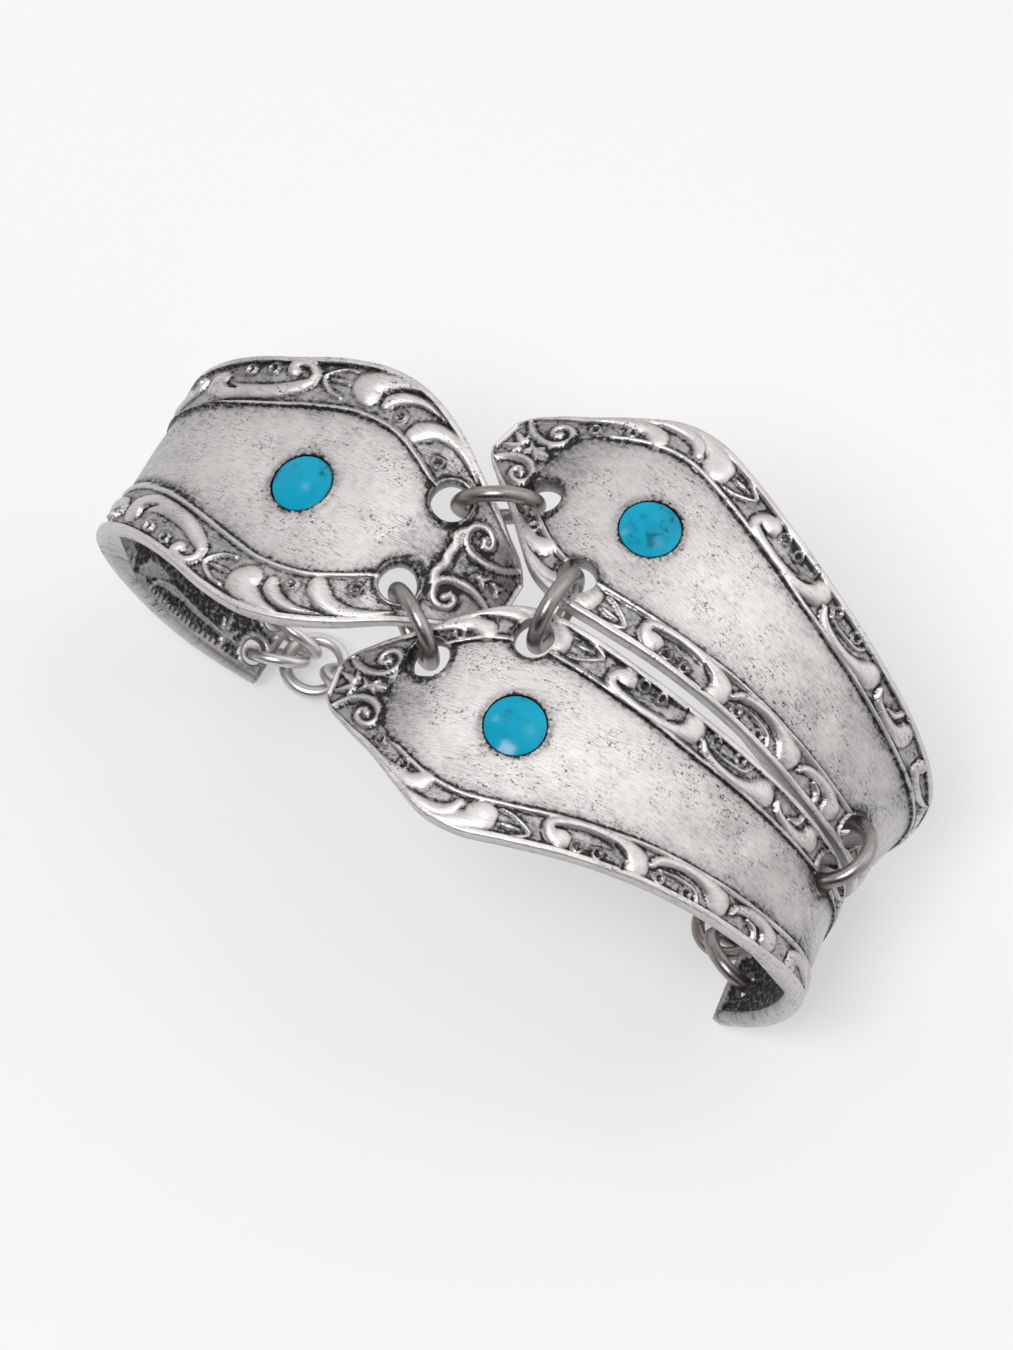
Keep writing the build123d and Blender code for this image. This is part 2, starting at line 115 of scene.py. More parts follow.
# Raised strokes of a border: half widths from start to end, then the points that they follow
PAIR_STROKES = [
    ((0.20, 0.34, 0.32, 0.30, 0.30, 0.26), [
        (2.9, 2.6), (3.7, 1.8), (5.0, 1.15), (6.5, 1.1), (7.5, 1.8), (7.65, 2.6), (7.1, 3.15), (6.35, 3.1),
        (5.85, 2.6), (5.95, 2.1), (6.4, 1.95)]),
    ((0.30, 0.34), [(6.4, 2.1), (6.65, 2.3)]),
    ((0.10, 0.28, 0.34), [(3.0, 0.75), (3.6, 0.55), (4.3, 0.25)]),
    ((0.10, 0.30, 0.10), [(4.3, 1.0), (4.5, 0.45), (4.2, 0.0)]),
    ((0.10, 0.30, 0.10), [(5.1, 0.55), (5.8, 0.0), (6.5, 0.55)]),
    ((0.10, 0.34, 0.14), [(5.9, 0.0), (6.7, 0.05), (7.5, 0.0)]),
    ((0.12, 0.34, 0.50, 0.66, 0.78), [(8.0, 4.7), (9.4, 5.7), (10.8, 6.4), (12.2, 6.85), (13.2, 6.65)]),
    ((0.78, 0.70), [(13.2, 6.6), (13.45, 6.35)]),
    ((0.10, 0.40, 0.58, 0.60, 0.46), [(11.6, 7.3), (13.4, 8.15), (15.2, 8.5), (16.3, 8.15), (16.75, 7.45)]),
    ((0.20, 0.60, 0.95, 1.20), [(14.6, 9.15), (16.4, 8.95), (17.8, 8.5), (18.5, 7.9)]),
    ((1.20, 1.05), [(18.4, 8.0), (18.7, 7.55)]),
    ((0.16, 0.18, 0.18, 0.16), [(20.0, 8.75), (21.2, 8.5), (22.6, 7.7), (21.2, 6.9), (20.0, 6.65)]),
    ((0.10, 0.24, 0.10), [(20.2, 7.8), (20.9, 7.75), (21.7, 7.7)]),
    ((0.88, 0.60, 0.46, 0.42, 0.38, 0.42, 0.66, 0.94, 0.92), [
        (24.85, 6.95), (24.1, 6.85), (23.75, 6.2), (24.6, 5.65), (26.4, 5.2), (28.4, 5.0), (30.1, 5.15),
        (31.15, 5.65), (31.25, 6.1)]),
    ((0.24, 0.38, 0.40, 0.44, 0.66, 1.06), [
        (32.3, 5.4), (32.9, 4.7), (34.2, 4.25), (36.0, 4.05), (37.6, 4.25), (38.9, 4.75)]),
    ((0.10, 0.17, 0.18, 0.12), [(33.2, 5.35), (34.8, 5.1), (36.4, 5.2), (37.15, 5.85)]),
    ((0.20, 0.34, 0.42, 0.52, 0.95), [(40.4, 4.9), (40.9, 4.25), (42.2, 3.85), (43.8, 3.8), (45.1, 4.4)]),
    ((0.14, 0.28, 0.26), [(42.2, 4.4), (43.1, 4.6), (43.5, 5.2)]),
    ((0.76, 0.60, 0.44, 0.42, 0.22), [(48.9, 4.5), (48.7, 3.9), (49.7, 3.4), (51.5, 3.3), (53.4, 3.7)]),
    ((0.16, 0.36, 0.40, 0.46, 0.80), [(54.0, 4.0), (54.6, 3.4), (56.2, 3.1), (58.0, 3.1), (59.1, 3.5)]),
    ((0.15, 0.32, 0.38, 0.60), [(60.2, 3.4), (61.4, 2.9), (63.4, 2.7), (64.8, 2.9)]),
]
LEFT_STROKES = [
    ((0.14, 0.40, 0.58, 0.72, 0.84), [(8.2, 6.2), (9.9, 7.5), (11.6, 8.2), (13.2, 8.2), (14.2, 7.65)]),
    ((0.84, 0.72), [(14.2, 7.6), (14.5, 7.2)]),
    ((0.10, 0.38, 0.56, 0.58, 0.44), [(13.0, 9.3), (15.2, 9.85), (16.9, 9.6), (17.8, 9.0), (17.95, 8.45)]),
    ((0.20, 0.60, 1.00, 1.28), [(16.2, 10.75), (18.0, 10.6), (19.5, 10.1), (20.2, 9.45)]),
    ((1.28, 1.05), [(20.2, 9.4), (19.95, 8.95)]),
    ((0.16, 0.19, 0.19, 0.16), [(21.9, 10.25), (23.0, 10.0), (24.15, 8.95), (23.1, 7.95), (21.9, 7.7)]),
    ((0.10, 0.20, 0.10), [(21.9, 9.05), (22.7, 9.0), (23.5, 8.95)]),
    ((0.40, 0.38, 0.38, 0.40, 0.50, 0.56), [
        (24.95, 8.1), (25.0, 8.9), (25.7, 9.45), (26.6, 9.4), (27.15, 8.95), (26.95, 8.6)]),
    ((0.42, 0.58, 0.64, 0.66, 0.76, 1.15), [
        (24.95, 8.1), (25.8, 7.4), (27.7, 6.35), (30.2, 5.7), (32.2, 5.5), (33.7, 6.15)]),
    ((0.20, 0.44, 0.50, 0.56, 0.70, 1.00), [
        (35.5, 6.4), (36.3, 5.4), (38.4, 4.9), (40.8, 4.7), (42.6, 4.8), (43.8, 5.3)]),
    ((0.20, 0.40, 0.46, 0.54, 0.88), [(45.2, 5.6), (45.9, 4.8), (47.6, 4.4), (49.6, 4.3), (50.9, 4.8)]),
    ((0.20, 0.38, 0.44, 0.50, 0.76), [(52.3, 5.0), (53.0, 4.3), (54.8, 4.0), (56.8, 3.9), (57.9, 4.3)]),
    ((0.20, 0.36, 0.42, 0.60), [(59.4, 4.3), (60.4, 3.7), (62.6, 3.4), (64.2, 3.6)]),
]
# Strokes of one side of the left tip only, the far side given as negative across
LEFT_TIP_STROKES = [
    ((0.20, 0.32, 0.34, 0.32, 0.30, 0.28), [
        (1.2, -2.8), (2.8, -1.8), (4.4, -1.3), (5.9, -1.4), (6.7, -2.3), (6.5, -3.3), (5.5, -3.7),
        (4.7, -3.3), (4.5, -2.6), (5.1, -2.3)]),
    ((0.30, 0.36), [(5.1, -2.5), (5.2, -2.8)]),
    ((0.20, 0.32, 0.34, 0.32, 0.30, 0.28), [
        (1.3, 1.7), (2.8, 1.1), (4.4, 1.0), (5.9, 1.4), (6.7, 2.2), (6.4, 3.2), (5.6, 3.6), (4.8, 3.2),
        (4.7, 2.5), (5.3, 2.3)]),
    ((0.26, 0.32), [(5.3, 2.5), (5.5, 2.8)]),
    ((0.08, 0.26, 0.08), [(1.7, -0.9), (2.3, -0.4), (2.9, -0.7)]),
    ((0.08, 0.26, 0.08), [(1.9, 0.1), (2.4, -0.4), (3.1, -0.2)]),
    ((0.08, 0.26, 0.08), [(3.2, -0.75), (3.7, -0.2), (4.4, -0.6)]),
    ((0.08, 0.26, 0.08), [(3.2, 0.3), (3.8, -0.15), (4.6, 0.1)]),
    ((0.08, 0.24, 0.08), [(4.6, -0.7), (5.1, -0.15), (5.7, -0.5)]),
    ((0.20, 0.50, 0.40, 0.50, 0.40, 0.50, 0.22), [
        (7.0, -2.6), (7.3, -1.7), (6.9, -1.0), (7.1, -0.2), (6.8, 0.5), (7.2, 1.3), (7.0, 2.4)]),
]

# Ringlets: along, across, radius to the middle of the wire
PAIR_RINGLETS = [
    (8.7, 4.2, 0.40),
    (11.35, 5.75, 0.40),
    (26.35, 6.95, 0.42),
    (28.0, 6.7, 0.42),
    (33.35, 5.95, 0.40),
    (35.9, 5.8, 0.40),
]
LEFT_RINGLETS = [
    (11.7, 6.05, 0.44),
    (16.4, 8.05, 0.44),
    (28.7, 8.2, 0.42),
    (30.8, 7.65, 0.42),
    (36.5, 6.5, 0.38),
    (38.9, 5.9, 0.36),
    (46.0, 5.4, 0.34),
    (48.2, 5.15, 0.34),
]
RINGLET_WIRE = 0.14

# In millimetres: how deep the inner ornament's ground lies, how far the inner face and the rim's
# rounding stay inside the outline, and how deep and how much wider than its stone a seat is
INNER_DEPTH = 0.24
INNER_INSET = 0.352
RIM_ROUND = 0.22
SEAT_DEPTH = 0.86
SEAT_GAP = 0.12

# Stands for a distance that no place on a stroke or an edge reaches
FAR = 9.0

# Cut grooves, in the same form as the strokes
PAIR_GROOVES = [
    ((0.10, 0.22, 0.22, 0.12), [(29.0, 5.35), (29.8, 5.7), (30.25, 6.3), (30.15, 6.9)]),
    ((0.06, 0.13, 0.15, 0.15, 0.08), [(32.9, 5.2), (34.3, 4.72), (36.2, 4.65), (37.4, 5.1), (37.8, 5.9)]),
    ((0.06, 0.15, 0.14, 0.06), [(43.4, 4.3), (44.0, 4.5), (44.2, 5.0), (44.1, 5.4)]),
    ((0.06, 0.14, 0.14, 0.06), [(49.7, 4.6), (50.0, 4.1), (50.8, 3.85), (51.8, 3.9)]),
]
LEFT_GROOVES = [
    ((0.10, 0.26, 0.28, 0.14), [(31.0, 5.75), (32.1, 5.95), (32.65, 6.45), (32.5, 7.1)]),
    ((0.08, 0.18, 0.20, 0.10), [(41.4, 4.9), (42.3, 5.1), (42.8, 5.5), (42.7, 6.1)]),
    ((0.08, 0.16, 0.16, 0.10), [(48.6, 4.5), (49.4, 4.7), (49.8, 5.0), (49.7, 5.5)]),
]

# Strokes of the left plate's inner face near its foot, in the same form
LEFT_INNER_STROKES = [
    ((0.12, 0.26, 0.30, 0.26, 0.22), [(52.6, 4.7), (53.4, 3.7), (55.6, 2.95), (58.8, 2.6), (61.9, 2.4)]),
    ((0.20, 0.75, 0.60, 0.15), [(50.0, 4.7), (51.0, 3.9), (52.4, 3.3), (54.2, 2.7)]),
    ((0.15, 0.50, 0.60, 0.20), [(49.6, 5.6), (50.6, 5.2), (51.6, 5.1), (52.4, 5.2)]),
    ((0.15, 0.55, 0.40, 0.15), [(46.0, 4.6), (46.8, 5.0), (47.4, 5.6), (47.5, 6.2)]),
    ((0.15, 0.50, 0.40, 0.15), [(47.7, 4.7), (48.4, 5.1), (48.9, 5.7), (48.9, 6.2)]),
    ((0.12, 0.42, 0.12), [(62.5, 0.7), (62.85, 2.3), (63.1, 3.7)]),
    ((0.12, 0.40, 0.12), [(61.6, 2.5), (62.85, 2.3), (64.2, 2.2)]),
    ((0.12, 0.34, 0.12), [(61.9, 1.2), (62.85, 2.3), (63.8, 1.2)]),
    ((0.16, 0.16), [(44.0, 4.9), (48.0, 4.4)]),
]

# Holes: along, across, radius, and how wide a lip stands round it
PAIR_HOLES = [
    (9.70, -3.25, 1.65, 0.26),
    (17.00, -7.10, 1.60, 0.24),
    (48.60, -3.45, 1.60, 0.24),
    (69.30, 0.00, 1.20, 0.0),
]
LEFT_HOLES = [
    (9.10, -3.90, 1.65, 0.38),
    (9.10, 3.90, 1.65, 0.38),
    (65.90, -1.70, 1.10, 0.0),
    (65.90, 1.70, 1.10, 0.0),
]

PAIR = {
    "nodes": ("plate_back", "plate_front"),
    "length": 71.6,
    "half": 9.55,
    "bends": [(0.660, 94.6), (0.118, 38.0), (0.112, 17.4), (0.110, 27.5)],
    "tip": (-9.70, 12.85, 32.04),
    "heading": -10.07,
    "pitch": -36.26,
    "tilt": -4.18,
    "outline": PAIR_OUTLINE,
    "panel": PAIR_PANEL,
    "strokes": PAIR_STROKES,
    "tip_strokes": [],
    "ringlets": PAIR_RINGLETS,
    "grooves": PAIR_GROOVES,
    "holes": PAIR_HOLES,
    "inner_strokes": [],
    "inner_from": 54.0,
    "stone": 18.30,
    "seed": 11,
}
LEFT = {
    "nodes": ("plate_left",),
    "length": 67.6,
    "half": 11.6,
    "bends": [(0.1546, 41.6), (0.1031, 17.4), (0.1627, 8.6), (0.2231, 69.1), (0.1917, 29.1), (0.1648, 37.5)],
    "tip": (0.93, 0.0, 32.90),
    "heading": 180.86,
    "pitch": -45.1,
    "tilt": -4.8,
    "outline": LEFT_OUTLINE,
    "panel": LEFT_PANEL,
    "strokes": LEFT_STROKES,
    "tip_strokes": LEFT_TIP_STROKES,
    "ringlets": LEFT_RINGLETS,
    "grooves": LEFT_GROOVES,
    "holes": LEFT_HOLES,
    "inner_strokes": LEFT_INNER_STROKES,
    "inner_from": 44.0,
    "stone": 20.60,
    "seed": 23,
}

DARK_RINGS = (
    "ring_left_back",
    "ring_left_front",
    "ring_pair_top",
    "ring_pair_side",
    "ring_end_front",
    "ring_end_back",
    "ring_link_back",
    "ring_hub_right",
)
BRIGHT_RINGS = (
    "ring_foot_front",
    "ring_foot_back",
    "ring_hub_left",
    "chain_1",
    "chain_2",
    "chain_3",
    "chain_4",
    "chain_5",
    "chain_6",
)


class BraceletSizes(bpy.types.PropertyGroup):
    """Sizes of the worked surface, in metres."""

    plate_thick: FloatProperty(
        name="Plate thickness", description="From the rim's top to the inner face",
        default=1.6 * MM, precision=5, unit="LENGTH")
    rim_width: FloatProperty(
        name="Rim width", description="Plain rim round each plate",
        default=0.55 * MM, precision=5, unit="LENGTH")
    ground_depth: FloatProperty(
        name="Ground depth", description="How deep the ground of the border lies below the rim",
        default=0.55 * MM, precision=5, unit="LENGTH")
    panel_rise: FloatProperty(
        name="Panel rise", description="How far the plain panel stands above the ground",
        default=0.20 * MM, precision=5, unit="LENGTH")
    bead_rise: FloatProperty(
        name="Bead rise", description="How far the line round the panel stands above the ground",
        default=0.47 * MM, precision=5, unit="LENGTH")
    stroke_rise: FloatProperty(
        name="Scroll rise", description="How far scrolls and leaves stand above the ground",
        default=0.60 * MM, precision=5, unit="LENGTH")
    scroll_share: FloatProperty(
        name="Scroll boldness", description="Width of scrolls and leaves against their tables",
        default=1.22)
    cell: FloatProperty(
        name="Cell", description="Width of one mesh cell of the worked face",
        default=0.117 * MM, precision=6, unit="LENGTH")
    stone_diameter: FloatProperty(
        name="Stone diameter", description="Turquoise cabochon",
        default=4.80 * MM, precision=5, unit="LENGTH")
    ring_steps: IntProperty(
        name="Ring steps", description="Faces round a jump ring", default=96)
    wire_steps: IntProperty(
        name="Wire steps", description="Faces round the wire of a jump ring", default=28)


class BraceletColours(bpy.types.PropertyGroup):
    """Colours of the bracelet and its stage."""

    silver: FloatVectorProperty(
        name="Silver", description="Rubbed silver of rims, scrolls and panels",
        default=(0.640, 0.622, 0.614), subtype="COLOR", size=3, min=0.0, max=1.0)
    # Also the colour of the painted shade on the plates' tips and inner faces
    tarnish: FloatVectorProperty(
        name="Tarnish", description="Blackened ground between the scrolls",
        default=(0.034, 0.032, 0.032), subtype="COLOR", size=3, min=0.0, max=1.0)
    turquoise: FloatVectorProperty(
        name="Turquoise", description="Body colour of the stones",
        default=(0.0, 0.265, 0.405), subtype="COLOR", size=3, min=0.0, max=1.0)
    vein: FloatVectorProperty(
        name="Vein", description="Dark veins and pits in the stones",
        default=(0.002, 0.080, 0.130), subtype="COLOR", size=3, min=0.0, max=1.0)
    gunmetal: FloatVectorProperty(
        name="Dark rings", description="Oxidised jump rings",
        default=(0.33, 0.308, 0.300), subtype="COLOR", size=3, min=0.0, max=1.0)
    bright: FloatVectorProperty(
        name="Bright rings", description="Silver of the chain and clasp",
        default=(0.70, 0.685, 0.675), subtype="COLOR", size=3, min=0.0, max=1.0)
    floor: FloatVectorProperty(
        name="Floor", description="Pale studio floor",
        default=(0.36, 0.36, 0.36), subtype="COLOR", size=3, min=0.0, max=1.0)


# Curves and distances


def through(points, at):
    """Smooth curve through (x, y) points, read at other x values."""
    x, y = np.array(points, float).T
    span = np.diff(x)
    slope = np.diff(y) / span
    between = (slope[1:] * span[:-1] + slope[:-1] * span[1:]) / (span[1:] + span[:-1])
    tangent = np.concatenate(([slope[0]], between, [slope[-1]]))
    index = np.clip(np.searchsorted(x, at) - 1, 0, len(span) - 1)
    step = np.clip((at - x[index]) / span[index], 0, 1)
    rest = 1 - step
    return (y[index] * rest ** 2 * (1 + 2 * step) + y[index + 1] * step ** 2 * (3 - 2 * step)
            + span[index] * step * rest * (tangent[index] * rest - tangent[index + 1] * step))


def rounded_path(points, per_span=7):
    """Points of a smooth path through a few points."""
    points = np.array(points, float)
    if len(points) < 3:
        return points
    place = np.arange(len(points), dtype=float)
    at = np.linspace(0, len(points) - 1, (len(points) - 1) * per_span + 1)
    return np.column_stack([through(np.column_stack([place, column]), at) for column in points.T])


def nearest(path, x, y):
    """Distance from each place to a path, and how far along the path the nearest point is, from 0 to 1."""
    best = np.full(x.shape, 1e9)
    where = np.zeros(x.shape)
    count = len(path) - 1
    for index in range(count):
        start = path[index]
        run = path[index + 1] - start
        share = np.clip(((x - start[0]) * run[0] + (y - start[1]) * run[1]) / max(run @ run, 1e-12), 0, 1)
        distance = np.hypot(x - start[0] - share * run[0], y - start[1] - share * run[1])
        closer = distance < best
        best[closer] = distance[closer]
        where[closer] = ((index + share) / count)[closer]
    return best, where


def ramp(value, low, high):
    """Smooth rise from 0 at low to 1 at high."""
    share = np.clip((value - low) / (high - low), 0, 1)
    return share * share * (3 - 2 * share)


def stroke_share(widths, points, x, y):
    """Distance from a stroke's middle line as a share of its half width."""
    path = rounded_path(points)
    reach = max(widths)
    share = np.full(x.shape, FAR)
    low = path.min(0) - reach
    high = path.max(0) + reach
    near = (x > low[0]) & (x < high[0]) & (y > low[1]) & (y < high[1])
    if near.any():
        distance, where = nearest(path, x[near], y[near])
        share[near] = distance / np.interp(where, np.linspace(0, 1, len(widths)), widths)
    return share


# Relief of a plate, worked flat


def half_width(plate, along):
    """Half width of a plate in mm at places along it."""
    shares = [(share * plate["length"], half * plate["half"]) for share, half in plate["outline"]]
    return through(shares, along)


def worked_face(plate, sizes, along, across):
    """Height of a plate's outer face and how much of it is panel, at places along and across it."""
    ground = -sizes.ground_depth / MM
    half = half_width(plate, along)
    lean = (half_width(plate, along + 0.2) - half_width(plate, along - 0.2)) / 0.4
    side = np.abs(across)
    start = plate["outline"][0][0] * plate["length"]
    end = plate["outline"][-1][0] * plate["length"]
    edge = np.minimum((half - side) / np.sqrt(1 + lean ** 2), np.minimum(along - start, end - along))
    panel_path = rounded_path(plate["panel"], 5)
    panel_distance, _ = nearest(panel_path, along, side)
    inside = (side < through(plate["panel"], along)) & (along > plate["panel"][0][0])
    inward = np.where(inside, panel_distance, -panel_distance)
    panel = ramp(inward, -0.10, 0.10)
    lift = ground + panel * sizes.panel_rise / MM
    shown = ramp(along, 8.0, 10.5) * ramp(end - along, 1.5, 4.0)
    bead = np.clip(1 - ((inward + 0.16) / 0.30) ** 2, 0, 1) ** 0.7
    lift = np.maximum(lift, ground + bead * shown * sizes.bead_rise / MM)
    rise = sizes.stroke_rise / MM
    for widths, points in plate["strokes"]:
        share = stroke_share([sizes.scroll_share * width for width in widths], points, along, side)
        body = np.clip(1 - np.clip(share, 0, 1) ** 2.1, 0, 1) ** 0.6
        lift = np.maximum(lift, np.where(share < 1, ground + rise * min(1, 0.55 + max(widths)) * body, lift))
    for widths, points in plate["tip_strokes"]:
        share = stroke_share([sizes.scroll_share * width for width in widths], points, along, across)
        body = np.clip(1 - np.clip(share, 0, 1) ** 2.2, 0, 1) ** 0.6
        lift = np.maximum(lift, np.where(share < 1, ground + 0.9 * rise * body, lift))
    for middle, out, radius in plate["ringlets"]:
        ring = np.abs(np.hypot(along - middle, side - out) - radius)
        lift = np.maximum(lift, ground + 0.85 * rise * np.clip(1 - (ring / RINGLET_WIRE) ** 2, 0, 1) ** 0.7)
    rim = np.minimum(np.minimum(sizes.rim_width / MM, 0.3 * half), 0.30 + 0.045 * (along - start))
    lift = np.maximum(lift, ground * (1 - ramp(edge, rim + 0.20, rim - 0.06)))
    for widths, points in plate["grooves"]:
        share = stroke_share(widths, points, along, side)
        lift = lift - 0.9 * rise * np.clip(1 - share ** 2, 0, 1)
    lift = np.maximum(lift, ground - 0.06)
    for middle, out, radius, lip in plate["holes"]:
        reach = np.hypot(along - middle, across - out) - radius
        if lip:
            ring = 0.85 * np.clip(1 - ((reach - 0.4 * lip) / (0.7 * lip)) ** 2, 0, 1)
            lift = np.maximum(lift, ground + (rise - 0.02) * ring)
    reach = np.hypot(along - plate["stone"], across) - seat_radius(sizes)
    collar = np.clip(1 - ((reach - 0.08) / 0.20) ** 2, 0, 1)
    lift = np.maximum(lift, ground + sizes.panel_rise / MM + 0.08 * collar)
    lift = lift + hand_wear(plate, along, across, panel)
    return lift, panel, inward, edge


def inner_face(plate, along, across):
    """How far the inner face's ground is sunk, in mm: ornament near the foot, plain elsewhere."""
    side = np.abs(across)
    half = half_width(plate, along) - INNER_INSET
    end = plate["outline"][-1][0] * plate["length"]
    sunk = ramp(along, plate["inner_from"], plate["inner_from"] + 4)
    sunk = sunk * ramp(np.minimum(half - side, end - along - INNER_INSET), 0.25, 0.50)
    raised = np.zeros(along.shape)
    for widths, points in plate["inner_strokes"]:
        share = np.clip(stroke_share(widths, points, along, side), 0, 1)
        raised = np.maximum(raised, np.clip(1 - share ** 2.4, 0, 1) ** 0.7)
    if plate["inner_strokes"]:
        hatch = ramp(np.sin(along * tau / 0.62), -0.2, 0.6) * ramp(side, half - 0.95, half - 0.65)
        raised = np.maximum(raised, 0.8 * hatch * ramp(along, 50, 53) * ramp(65 - along, 0, 1))
        for middle, out, radius, _ in plate["holes"][2:]:
            ring = np.hypot(along - middle, across - out) - radius - 0.22
            raised = np.maximum(raised, np.clip(1 - (ring / 0.30) ** 2, 0, 1))
    return INNER_DEPTH * sunk * (1 - raised)


def seat_radius(sizes):
    """Radius of the seat's bore in mm, a little wider than the stone."""
    return sizes.stone_diameter / MM / 2 + SEAT_GAP


def hand_wear(plate, along, across, panel):
    """Shallow waves and small pits that wear leaves, in mm."""
    draw = np.random.default_rng(plate["seed"])
    wave = np.zeros(along.shape)
    for size, deep in ((6.0, 0.020), (2.6, 0.010), (1.2, 0.004)):
        for _ in range(5):
            turn = draw.uniform(0, tau)
            phase = draw.uniform(0, tau)
            wave += deep / 2.2 * np.sin((along * cos(turn) + across * sin(turn)) * tau / size + phase)
    pits = np.zeros(along.shape)
    for _ in range(260):
        middle = draw.uniform(3, 60)
        out = draw.uniform(-1, 1) * 6.5
        size = draw.uniform(0.10, 0.22)
        deep = draw.uniform(0.01, 0.035)
        near = (np.abs(along - middle) < size) & (np.abs(across - out) < size)
        reach = np.hypot(along[near] - middle, across[near] - out) / size
        pits[near] = np.maximum(pits[near], deep * np.clip(1 - reach ** 2, 0, 1))
    return wave - pits * panel


def blurred(field, reach):
    """Mean of a field over a square window of cells."""
    padded = np.pad(field, reach, mode="edge")
    total = padded.cumsum(0).cumsum(1)
    total = np.pad(total, ((1, 0), (1, 0)))
    size = 2 * reach + 1
    window = total[size:, size:] - total[:-size, size:] - total[size:, :-size] + total[:-size, :-size]
    return window / size ** 2


# Bending a worked plate onto the frame


def middle_line(plate, along):
    """Run, height and slope of a plate's middle line at places along it, in mm."""
    run = np.zeros(along.shape)
    height = np.zeros(along.shape)
    slope = np.full(along.shape, radians(plate["pitch"]))
    left = along.copy()
    last = len(plate["bends"]) - 1
    for index, (share, turn) in enumerate(plate["bends"]):
        arc = share * plate["length"]
        radius = arc / radians(turn)
        step = np.minimum(left, arc) if index < last else left
        bent = slope + step / radius
        run += radius * (np.sin(bent) - np.sin(slope))
        height += radius * (np.cos(bent) - np.cos(slope))
        slope = bent
        left = left - step
    return run, height, slope


def bent(plate, flat):
    """Points of a flat plate moved onto its bent middle line, in mm."""
    along, across, lift = flat.T
    run, height, slope = middle_line(plate, np.maximum(along, 0))
    heading = radians(plate["heading"])
    tilt = radians(plate["tilt"])
    side = np.array((-sin(heading) * cos(tilt), cos(heading) * cos(tilt), sin(tilt)))
    out = np.column_stack([cos(heading) * np.sin(slope), sin(heading) * np.sin(slope), np.cos(slope)])
    line = np.column_stack([cos(heading) * run, sin(heading) * run, height])
    ahead = np.column_stack([cos(heading) * np.cos(slope), sin(heading) * np.cos(slope), -np.sin(slope)])
    square = np.cross(ahead, side)
    square /= np.linalg.norm(square, axis=1)[:, None]
    square *= np.sign((square * out).sum(1))[:, None]
    return np.array(plate["tip"]) + line + across[:, None] * side + lift[:, None] * square


# Mesh helpers


def deselect():
    """Nothing selected, nothing active."""
    bpy.ops.object.select_all(action="DESELECT")
    bpy.context.view_layer.objects.active = None


def coordinates(piece):
    """Places of a mesh's vertices as an array."""
    places = np.empty(len(piece.data.vertices) * 3)
    piece.data.vertices.foreach_get("co", places)
    return places.reshape(-1, 3)


def set_coordinates(piece, places):
    """Moves all of a mesh's vertices."""
    piece.data.vertices.foreach_set("co", np.asarray(places, float).ravel())
    piece.data.update()


def pick(piece):
    """Only this piece selected, and active."""
    deselect()
    piece.select_set(True)
    bpy.context.view_layer.objects.active = piece


def edit_all(piece):
    """Opens a piece in edit mode with everything selected."""
    pick(piece)
    bpy.ops.object.mode_set(mode="EDIT")
    bpy.ops.mesh.select_mode(type="VERT")
    bpy.ops.mesh.select_all(action="SELECT")


def close_edit():
    """Back to object mode."""
    bpy.ops.object.mode_set(mode="OBJECT")


def grid_of(rows, columns):
    """A grid mesh with a vertex for each row and column, in row order."""
    deselect()
    bpy.ops.mesh.primitive_grid_add(x_subdivisions=columns - 1, y_subdivisions=rows - 1, size=1)
    return bpy.context.active_object


def cut(piece, cutter):
    """Takes a cutter out of a piece and removes the cutter."""
    tool = piece.modifiers.new("cut", "BOOLEAN")
    tool.operation = "DIFFERENCE"
    tool.solver = "MANIFOLD"
    tool.object = cutter
    pick(piece)
    bpy.ops.object.modifier_apply(modifier=tool.name)
    bpy.data.objects.remove(cutter)


def drill(radius, along, across, low, high, steps=72):
    """Round cutter standing on a flat plate, in mm."""
    deselect()
    bpy.ops.mesh.primitive_cylinder_add(
        vertices=steps, radius=radius, depth=high - low, location=(along, across, (low + high) / 2))
    tool = bpy.context.active_object
    bpy.ops.object.transform_apply(location=True, rotation=True, scale=True)
    return tool


def smooth(piece, degrees):
    """Smooth shading up to an angle."""
    pick(piece)
    bpy.ops.object.shade_smooth_by_angle(angle=radians(degrees))


def dress(piece, material, slot, *nodes):
    """Gives a piece its material, and makes it ride and stand for its CAD nodes."""
    piece.data.materials.clear()
    piece.data.materials.append(material)
    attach(piece, "root")
    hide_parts(*nodes)


# Materials


